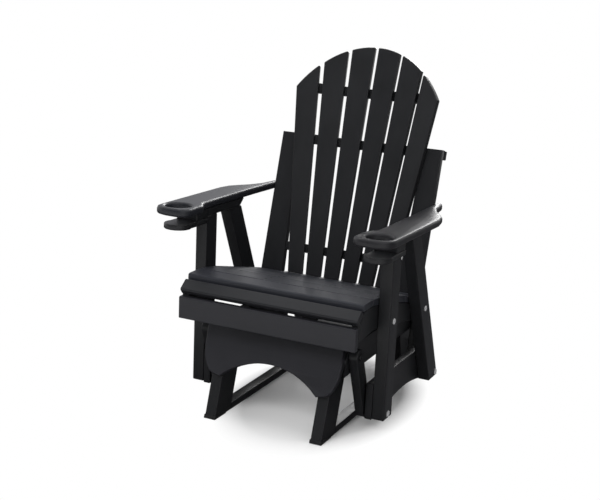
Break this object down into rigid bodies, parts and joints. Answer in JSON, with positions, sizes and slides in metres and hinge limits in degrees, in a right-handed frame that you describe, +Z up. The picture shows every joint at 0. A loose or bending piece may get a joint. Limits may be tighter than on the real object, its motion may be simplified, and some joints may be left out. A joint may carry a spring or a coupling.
{
  "type": "adirondack glider",
  "caption": "Fan-backed outdoor armchair of dark moulded boards with cup holes in its arms, hung on swinging links from a low floor base.",
  "frame": {"origin": "middle of the bounding box, on the floor", "axes": "+Z up, -Y to the front of the chair, +X to the sitter's left"},
  "size_m": [0.804, 0.8284, 1.15],
  "materials": {
    "board": "satin",
    "steel": "satin"
  },
  "bodies": {
    "base": {"base_floor_rail_left": "board", "base_floor_rail_right": "board", "base_front_leg_left": "board", "base_front_leg_right": "board", "base_front_panel": "board", "base_rear_board": "board", "base_rear_leg_left": "board", "base_rear_leg_right": "board", "base_top_rail_left": "board", "base_top_rail_right": "board", "pivot_bolt_upper_front_left": "steel", "pivot_bolt_upper_front_right": "steel", "pivot_bolt_upper_rear_left": "steel", "pivot_bolt_upper_rear_right": "steel"},
    "front_links": {"link_front_left": "board", "link_front_right": "board"},
    "rear_links": {"link_rear_left": "board", "link_rear_right": "board"},
    "carriage": {"apron": "board", "arm_left": "board", "arm_rail_left": "board", "arm_rail_right": "board", "arm_right": "board", "back_rail_lower": "board", "back_rail_middle": "board", "back_rail_top": "board", "back_slat_left_1": "board", "back_slat_left_2": "board", "back_slat_left_3": "board", "back_slat_right_1": "board", "back_slat_right_2": "board", "back_slat_right_3": "board", "back_upright_left": "board", "back_upright_right": "board", "cup_block_left": "board", "cup_block_right": "board", "cup_disc_left": "board", "cup_disc_right": "board", "front_post_left": "board", "front_post_right": "board", "pivot_bolt_lower_front_left": "steel", "pivot_bolt_lower_front_right": "steel", "pivot_bolt_lower_rear_left": "steel", "pivot_bolt_lower_rear_right": "steel", "rear_leg_left": "board", "rear_leg_right": "board", "seat_middle_rail_left": "board", "seat_middle_rail_right": "board", "seat_nose_slat": "board", "seat_side_rail_left": "board", "seat_side_rail_right": "board", "seat_slat_1": "board", "seat_slat_2": "board", "seat_slat_3": "board", "seat_slat_4": "board", "seat_slat_5": "board", "seat_slat_6": "board", "skirt_left": "board", "skirt_right": "board"}
  },
  "joints": [
    {"name": "glide", "type": "hinge", "parent": "base", "child": "front_links", "pos_m": [0, -0.27673, 0.268], "axis": [1, 0, 0], "range_deg": [-12, 8]},
    {"name": "carriage_on_front_links", "type": "hinge", "parent": "front_links", "child": "carriage", "pos_m": [0, -0.19773, 0.071], "axis": [1, 0, 0], "range_deg": [-10, 15]},
    {"name": "rear_link_swing", "type": "hinge", "parent": "base", "child": "rear_links", "pos_m": [0, 0.27127, 0.2814], "axis": [1, 0, 0], "range_deg": [-11.6, 7.8]}
  ],
  "couplings": [
    {"joint": "carriage_on_front_links", "follows": "glide", "ratio": -1.2373},
    {"joint": "rear_link_swing", "follows": "glide", "ratio": 0.9573}
  ]
}
